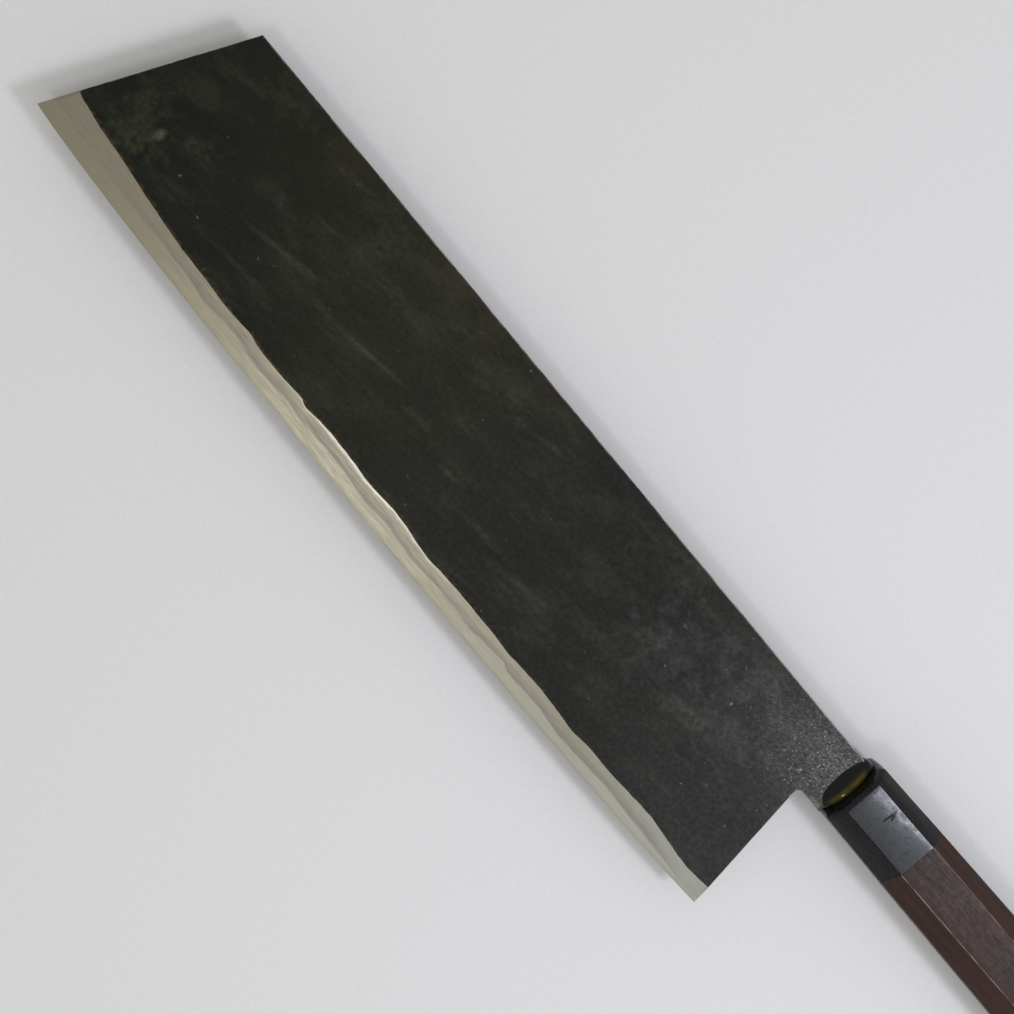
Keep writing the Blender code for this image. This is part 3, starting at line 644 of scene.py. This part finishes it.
def forged_scale():
    """Kurouchi: the black oxide left by the forge on soft iron, wiped but not ground.

    The eye sees a dry olive-black skin, darker at the nose and greyer toward the heel, partly its own tone
    and partly painted shade and sheen, with soft clouds a centimetre or two across, a few pale rub marks that
    rise toward the handle, brown where it thins out along its border, and a grey end by the neck, grainy with
    crystals, bright pricks and painted glints, where it was heated again."""
    material, add, place = new_finish("kurouchi_scale", Metallic=0.6, Specular_IOR_Level=0.25)
    # aft runs toward the butt, up toward the spine, and out from the left face
    aft, up, out = add("SeparateXYZ", place)
    # tone along the blade, darker at the nose, a little darker again past the middle and greyer toward the
    # heel:
    # partly the scale's own tone, partly painted shade and sheen of the light beyond the butt. The dark nose
    # reaches
    # 1.2 mm further for each mm toward the edge
    slanted = add("Math", up, 1.2, aft, operation="MULTIPLY_ADD")
    from_nose = add("MapRange", slanted, -0.188, -0.093, interpolation_type="SMOOTHSTEP")
    body = add("Mix", from_nose, "#1b1d15", "#28281d")
    past_middle = add("MapRange", aft, -0.1, -0.04)
    body = add("Mix", past_middle, body, "#21211c")
    to_heel = add("MapRange", aft, -0.01, 0.055)
    body = add("Mix", to_heel, body, "#2e2e2c")
    # clouds 18 by 8 mm, drawn out along the strokes of the wipe
    strokes = add("Mapping", place, Rotation=(0, 0, radians(9)), Scale=(0.018, 0.008, 0.002))
    patches = add("TexNoise", strokes, 1, 6, 0.62)
    lighter = add("MapRange", patches, 0.5, 0.8, 0, 0.4)
    body = add("Mix", lighter, body, "#464838")
    darker = add("MapRange", patches, 0.3, 0.5, 0.35, 0)
    body = add("Mix", darker, body, "#161713")
    cloud = add("TexNoise", place, 800, 4, 0.65)
    grain = add("MapRange", cloud, 0.35, 0.6, 0.22, 0)
    body = add("Mix", grain, body, "#10100c")
    # faint rust below the spine, in patches of 20 mm, more of it toward the nose
    rust = add("MapRange", add("TexNoise", place, 50, 4), 0.46, 0.64)
    toward_nose = add("MapRange", aft, -0.09, -0.05, 0.32, 0.08)
    below_spine = add("MapRange", up, 0.015, 0.025, interpolation_type="SMOOTHSTEP")
    for share in (toward_nose, below_spine):
        rust = add("Math", rust, share, operation="MULTIPLY")
    body = add("Mix", rust, body, "#453426")
    # the reheated end, which reaches 68 mm along the blade from the neck and 39 mm down it
    neck = oval_patch(add, place, 254, 43, 136, 78, depth=400)
    grey = add("Math", neck, 3.2, operation="POWER")
    # its crystals, 1.1 by 0.6 mm, turned 25 degrees; before the neck they lie in blue-grey clumps 6 mm wide
    crystals = add("Mapping", place, Rotation=(0, 0, radians(25)), Scale=(0.0011, 0.0006, 0.001))
    crystal = add("TexNoise", crystals, 1, 3, 0.65)
    frost = add("MapRange", crystal, 0.4, 0.64, 0.12, 1.0)
    grey = add("Math", grey, frost, operation="MULTIPLY")
    body = add("Mix", grey, body, "#666661")
    bloom = add("MapRange", oval_patch(add, place, 214, 35, 92, 38, turn=10, depth=400), 0, 0.5, 0, 0.5)
    clump = add("TexNoise", place, 170, 3, 0.6)
    drift = add("Math", clump, 2.2, bloom, operation="MULTIPLY_ADD")
    drift = add("MapRange", drift, 1.4, 1.8, 0, 0.24)
    faint = add("MapRange", crystal, 0.35, 0.65, 0.4, 1.0)
    drift = add("Math", drift, faint, operation="MULTIPLY")
    body = add("Mix", drift, body, "#525256")
    # rub lines 2 mm wide and 14 mm long that rise 8 degrees toward the handle, only where the cloth pressed
    rubs = add("Mapping", place, Rotation=(0, 0, radians(8)), Scale=(0.014, 0.0021, 0.001))
    lines = add("TexNoise", rubs, 1, 2, 0.5)
    pressed = add("TexNoise", strokes, 0.5, 1)
    lines = add("Math", pressed, 0.4, lines, operation="MULTIPLY_ADD")
    lines = add("MapRange", lines, 0.8, 1.1, 0, 0.1)
    broken = add("MapRange", cloud, 0.35, 0.65, 0.4, 1.0)
    lines = add("Math", lines, broken, operation="MULTIPLY")
    body = add("Mix", lines, body, "#7c7a6d")
    # the longest rub marks and the worn spots, on the left face only; the spots' outlines stray by 2 to 3 mm
    left = add("MapRange", out, TIP[2] - 0.0002, TIP[2] + 0.0002)
    left = add("Math", left, broken, operation="MULTIPLY")
    stray = add("TexNoise", place, 260, 3, 0.6, normalize=False, out="Color")
    strayed = add("VectorMath", stray, (0.005, 0.005, 0), place, operation="MULTIPLY_ADD")
    for vector, marks, tone in ((strayed, WORN_SPOTS, "#5d5c40"), (place, RUB_MARKS, "#807c69")):
        spots = 0.0
        for *layout, strength in marks:
            spots = add("Math", oval_patch(add, vector, *layout), strength, spots, operation="MULTIPLY_ADD")
        spots = add("Math", spots, left, operation="MULTIPLY", use_clamp=True)
        body = add("Mix", spots, body, tone)
    # bright pricks of 0.8 mm where the scale has chipped, more of them at the neck
    grit = add("TexNoise", place, 620, 2, 0.5)
    grit = add("Math", neck, 0.07, grit, operation="MULTIPLY_ADD")
    prick = add("MapRange", grit, 0.73, 0.87, 0, 0.6)
    body = add("Mix", prick, body, "#92918a")
    # and painted glints: finer bright specks of 0.25 mm, standing for sparkle off the crystals, that thicken
    # toward the resin
    painted_glints = add("TexNoise", place, 2000, 1)
    painted_glints = add("Math", neck, 0.3, painted_glints, operation="MULTIPLY_ADD")
    painted_glints = add("MapRange", painted_glints, 0.87, 0.98, 0, 0.6)
    body = add("Mix", painted_glints, body, "#a5a49d")
    # brown specks where the skin thins out, over 0.9 mm along the ground bevel, fainter toward the heel
    fringe = add("Attribute", attribute_name="fringe")
    specks = add("MapRange", cloud, 0.44, 0.6, 0, 0.8)
    fainter = add("MapRange", aft, -0.07, -0.01, 1.0, 0.3)
    for share in (specks, fainter):
        fringe = add("Math", fringe, share, operation="MULTIPLY")
    body = add("Mix", fringe, body, "#594332")
    rough = add("MapRange", cloud, 0.3, 0.7, 0.62, 0.46)
    height = add("Math", cloud, 0.7, patches, operation="MULTIPLY_ADD")
    height = add("Math", prick, 0.3, height, operation="MULTIPLY_ADD")
    bump = add("Bump", height, 0.5, 0.00015)
    return dress(material, body, rough, bump)


def ground_iron():
    """Soft cladding iron, hazed on a fine stone: a cream-grey satin a little duller than the core, with a
    grey-mauve line where it starts at the lamination, a bright rim under the scale in mid-blade that is a
    painted highlight, a tone along the blade that is partly painted sheen, and hair scratches along it."""
    material, add, place = new_finish("stoned_soft_iron", Metallic=0.6)
    aft = add("SeparateXYZ", place, out="X")
    # tone along the blade: it rises from the nose to mid-blade, falls after it and rises again at the heel,
    # partly the iron's own tone and partly painted sheen of a broad light on the bevel
    along = add("MapRange", aft, -0.17, -0.08, interpolation_type="SMOOTHSTEP")
    body = add("Mix", along, "#88826e", "#a09a86")
    to_heel = add("MapRange", aft, -0.05, 0.02)
    body = add("Mix", to_heel, body, "#8e8977")
    at_heel = add("MapRange", aft, 0.0, 0.045)
    body = add("Mix", at_heel, body, "#a2a296")
    # the haze, in clouds of 4 mm: it thins out from the lamination (band 0) to the scale (1), and at both
    # ends
    band = add("Attribute", attribute_name="band")
    cloud = add("TexNoise", place, 250, 4, 0.6)
    haze = add("Math", cloud, 0.35, band, operation="MULTIPLY_ADD")
    dull = add("MapRange", haze, 0.3, 0.9, 0.6, 0.05)
    begun = add("MapRange", haze, 0.14, 0.32, 0.3, 1.0)
    past_nose = add("MapRange", aft, -0.176, -0.145)
    before_heel = add("MapRange", aft, 0.034, 0.048, 1.0, 0.1)
    for share in (begun, past_nose, before_heel):
        dull = add("Math", dull, share, operation="MULTIPLY")
    body = add("Mix", dull, body, "#736c66")
    # the bright rim, a painted highlight of the broad light just under the scale, over 72 mm of the blade's
    # length
    mid_blade_highlight = oval_patch(add, place, 115, 0, 72, 10000, depth=10000)
    rim = add("MapRange", haze, 0.95, 1.12, 0, 1.5)
    rim = add("Math", rim, mid_blade_highlight, operation="MULTIPLY", use_clamp=True)
    body = add("Mix", rim, body, "#d8d3c3")
    return stoned(material, add, place, body, groove="#5d594f", rough=(0.48, 0.38), bump=(0.2, 0.00003))


def ground_core():
    """High-carbon core steel off the same stone: harder, so it takes a brighter and more even cream satin,
    lighter toward the heel partly in painted sheen.
    """
    material, add, place = new_finish("stoned_core_steel", Metallic=0.6)
    # lighter from the nose to the heel: partly the steel's own tone, partly painted sheen
    aft = add("SeparateXYZ", place, out="X")
    along = add("MapRange", aft, -0.17, -0.08, interpolation_type="SMOOTHSTEP")
    body = add("Mix", along, "#8b846e", "#97927e")
    to_heel = add("MapRange", aft, -0.05, 0.05)
    body = add("Mix", to_heel, body, "#aaa99c")
    return stoned(material, add, place, body, groove="#6f6b60", rough=(0.42, 0.32), bump=(0.15, 0.00002))


def ground_sides():
    """Soft iron and steel linished across: the narrow sides of nose, heel and neck, grain 0.2 mm apart."""
    material, add, place = new_finish("linished_steel", Metallic=0.8)
    across = add("Mapping", place, Scale=(0.0012, 0.0012, 0.0002))
    grain = add("TexNoise", across, 1, 3, 0.6)
    body = add("Mix", grain, "#5f5c55", "#9a968a")
    rough = add("MapRange", grain, 0.3, 0.7, 0.48, 0.34)
    bump = add("Bump", grain, 0.3, 0.00004)
    return dress(material, body, rough, bump)


def worn_arris_and_highlight():
    """Scale worn through to iron along the eased arrises of the blade, in dashes a few millimetres long, and
    lightened there as a painted highlight of the light the arrises catch.
    """
    material, add, place = new_finish("rubbed_arris_and_highlight", Metallic=0.7)
    along = add("Mapping", place, Scale=(0.006, 0.002, 0.002))
    dashes = add("TexNoise", along, 1, 4, 0.7)
    toward_neck = add("MapRange", add("SeparateXYZ", place, out="X"), -0.03, 0.0, 0, 0.15)
    dashes = add("Math", dashes, toward_neck, operation="ADD")
    shown = add("MapRange", dashes, 0.4, 0.7)
    body = add("Mix", shown, "#3a3932", "#aaa69b")
    rough = add("MapRange", shown, 0, 1, 0.5, 0.28)
    bump = add("Bump", dashes, 0.3, 0.00005)
    return dress(material, body, rough, bump)


def polished_horn():
    """Black buffalo horn, sanded and buffed: near black with brown-grey fibres along it, under a shine
    clouded by faint smears and a grain of wax, and broken by one dull scuff across the left facet."""
    material, add, place = new_finish("buffed_black_horn", Specular_IOR_Level=0.21, Coat_Weight=0.06,
                                      Coat_Roughness=0.05)
    fibres = add("Mapping", place, Rotation=(0, 0, HANDLE_RISE), Scale=(0.014, 0.001, 0.001))
    fibre = add("TexNoise", fibres, 1, 4, 0.6)
    light = add("MapRange", fibre, 0.42, 0.75)
    body = add("Mix", light, "#060604", "#15140f")
    wax = add("TexNoise", place, 1100, 3, 0.7)
    haze = add("MapRange", wax, 0.4, 0.7, 0, 0.1)
    body = add("Mix", haze, body, "#26272b")
    # dust of 0.4 mm held by the wax
    dust = add("TexNoise", place, 2300, 2, 0.7)
    dust = add("MapRange", dust, 0.5, 0.68, 0, 0.5)
    body = add("Mix", dust, body, "#36373c")
    smear = add("TexNoise", place, 420, 4, 0.6)
    rough = add("Math", smear, wax, operation="ADD")
    rough = add("MapRange", rough, 0.75, 1.25, 0.12, 0.34)
    scuff = 0.0
    for layout in SCUFF:
        stroke = oval_patch(add, place, *layout, above=9, depth=6)
        scuff = add("Math", scuff, stroke, operation="MAXIMUM")
    scuff = add("Math", smear, 1.2, scuff, operation="MULTIPLY_ADD")
    scuff = add("MapRange", scuff, 0.85, 1.05)
    rough = add("Mix", scuff, A=rough, B=0.6, data_type="FLOAT", out=0)
    bump = add("Bump", smear, 0.1, 0.00004)
    return dress(material, body, rough, bump)


def oiled_rosewood():
    """Rosewood, sanded and oiled: purple-brown with darker figure 2 to 4 mm wide along the grip, open pores
    0.15 mm wide and several millimetres long, drawn twice as wide so that they show, and arrises burnished by
    the hand and lightened by a painted highlight."""
    material, add, place = new_finish("oiled_rosewood", Specular_IOR_Level=0.25)
    along = add("Mapping", place, Rotation=(0, 0, HANDLE_RISE), Scale=(0.06, 0.0024, 0.0024))
    figure = add("TexNoise", along, 1, 5, 0.55, Distortion=0.4)
    tone = add("MapRange", figure, 0.32, 0.68)
    body = add("Mix", tone, "#26130b", "#3c2319")
    lengthwise = add("Mapping", place, Rotation=(0, 0, HANDLE_RISE), Scale=(0.005, 0.0003, 0.0003))
    pore = add("TexNoise", lengthwise, 1, 2, 0.6)
    open_pore = add("MapRange", pore, 0.58, 0.72, 0, 0.6)
    body = add("Mix", open_pore, body, "#140a07")
    # the arrises' burnish with a painted highlight, in dashes broken by the pores
    burnish_and_highlight = add("Attribute", attribute_name="arris")
    dashes = add("MapRange", pore, 0.62, 0.42, 0.15, 0.8)
    burnish_and_highlight = add("Math", burnish_and_highlight, dashes, operation="MULTIPLY")
    body = add("Mix", burnish_and_highlight, body, "#ab978b")
    # the oil stands unevenly, in spots of 1.5 mm
    oil = add("TexNoise", place, 650, 3, 0.7)
    rough = add("Math", oil, 1.2, pore, operation="MULTIPLY_ADD")
    rough = add("MapRange", rough, 0.7, 1.5, 0.36, 0.6)
    sunk = add("Math", 1.0, open_pore, operation="SUBTRACT")
    bump = add("Bump", sunk, 0.5, 0.00006)
    return dress(material, body, rough, bump)


def poured_resin():
    """Pine resin with epoxy, poured warm: a wet olive-black mound whose flanks show an amber crescent of
    painted light, standing for light that came in at the top and gathers there."""
    material, add, place = new_finish("poured_resin", Specular_IOR_Level=0.25, Roughness=0.07)
    # the amber crescent of painted light, read from the seal's mark and made a little uneven
    gathered = add("Attribute", attribute_name="glow")
    cloud = add("TexNoise", place, 520, 3, 0.5)
    uneven = add("MapRange", cloud, 0.3, 0.7, 0.6, 1.15)
    glow = add("Math", gathered, uneven, operation="MULTIPLY", use_clamp=True)
    murk = add("Mix", cloud, "#050603", "#191c11")
    body = add("Mix", glow, murk, "#584d0a")
    bump = add("Bump", cloud, 0.05, 0.0001)
    return dress(material, body, bump=bump)


def plain_hardwood():
    """Straight-grained beech for the hidden dowel: pale tan, fine dark flecks along it."""
    material, add, place = new_finish("sawn_hardwood", IOR=1.5)
    along = add("Mapping", place, Rotation=(0, 0, HANDLE_RISE), Scale=(0.008, 0.0005, 0.0005))
    grain = add("TexNoise", along, 1, 4, 0.6)
    body = add("Mix", grain, "#8f6b47", "#c8a67c")
    rough = add("MapRange", grain, 0, 1, 0.55, 0.75)
    bump = add("Bump", grain, 0.3, 0.0001)
    return dress(material, body, rough, bump)


def bedding_epoxy():
    """Filled epoxy round the tang: cloudy tan with small trapped bubbles of 1 mm."""
    material, add, place = new_finish("filled_epoxy", IOR=1.5)
    bubbles = add("TexVoronoi", place, Scale=900)
    cloud = add("TexNoise", place, 260, 3)
    body = add("Mix", cloud, "#7d745c", "#a79b7d")
    rough = add("MapRange", cloud, 0, 1, 0.3, 0.5)
    bump = add("Bump", bubbles, 0.4, 0.0002)
    return dress(material, body, rough, bump)


def studio_paper():
    """Matt white background paper on the floor, with a faint tooth."""
    material, add, place = new_finish("background_paper", Roughness=0.9)
    tooth = add("TexNoise", place, 900, 2)
    body = add("Mix", tooth, "#dfdedb", "#e8e7e4")
    return dress(material, body)


def set_stage():
    """The paper floor, the soft lamps and the camera, placed so that the blade shows as photographed."""
    bpy.ops.mesh.primitive_plane_add(size=8, location=(0, 0, -0.0002))
    floor = bpy.context.object
    floor.name = "paper_floor"
    floor.data.materials.append(studio_paper())

    world = bpy.data.worlds.new("studio")
    world.use_nodes = True
    world.node_tree.nodes["Background"].inputs["Color"].default_value = (1, 1, 1, 1)
    world.node_tree.nodes["Background"].inputs["Strength"].default_value = 0.5
    bpy.context.scene.world = world

    cool, white = (0.84, 0.87, 1.0), (1.0, 1.0, 1.0)
    lamps = (("key_softbox", (0.418, 0.19, 0.718), (0.066, 0.021, 0.019), 0.12, 0.2, 2.4, cool),
             ("fill_softbox", (0.43, -0.02, 0.78), (0.066, 0.021, 0.019), 0.3, 0.3, 0.7, cool),
             ("edge_softbox", (0.0, -0.38, 1.1), (-0.05, -0.02, 0.01), 0.24, 0.16, 1.4, white))
    for name, place, target, width, height, power, tint in lamps:
        lamp = bpy.data.lights.new(name, "AREA")
        lamp.color = tint
        lamp.shape = "RECTANGLE"
        lamp.size, lamp.size_y, lamp.energy = width, height, power
        holder = bpy.data.objects.new(name, lamp)
        holder.location = place
        holder.rotation_euler = (Vector(target) - Vector(place)).to_track_quat("-Z", "Y").to_euler()
        bpy.context.scene.collection.objects.link(holder)

    camera = bpy.data.cameras.new("photo_view")
    camera.sensor_width = 36
    camera.lens = camera.sensor_width * FOCAL / PICTURE
    camera.clip_start, camera.clip_end = 0.01, 20
    holder = bpy.data.objects.new("photo_view", camera)
    right = Vector((0.63679735, 0.76281145, 0.11228455))
    up = Vector((-0.75122263, 0.64662098, -0.13246082))
    back = Vector((-0.17364818, 0.0, 0.98480775))
    place = Vector(TIP) + Vector((68.02110603, 22.23981414, 417.22982953)) * MM
    holder.matrix_world = Matrix.Translation(place) @ Matrix((right, up, back)).transposed().to_4x4()
    bpy.context.scene.collection.objects.link(holder)
    bpy.context.scene.camera = holder
    bpy.context.scene.view_settings.view_transform = "Standard"


set_stage()
scale, iron, strip = forged_scale(), ground_iron(), ground_core()
sides, arris = ground_sides(), worn_arris_and_highlight()
make_core([strip, scale, sides, strip])
make_cladding("left", 1, [iron, scale, sides, arris])
make_cladding("right", -1, [iron, scale, sides, arris])
make_ferrule(polished_horn())
make_grip(oiled_rosewood())
make_seal(poured_resin())
for node, finish in (("dowel", plain_hardwood()), ("tang_bedding", bedding_epoxy())):
    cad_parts[node].data.materials.clear()
    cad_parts[node].data.materials.append(finish)
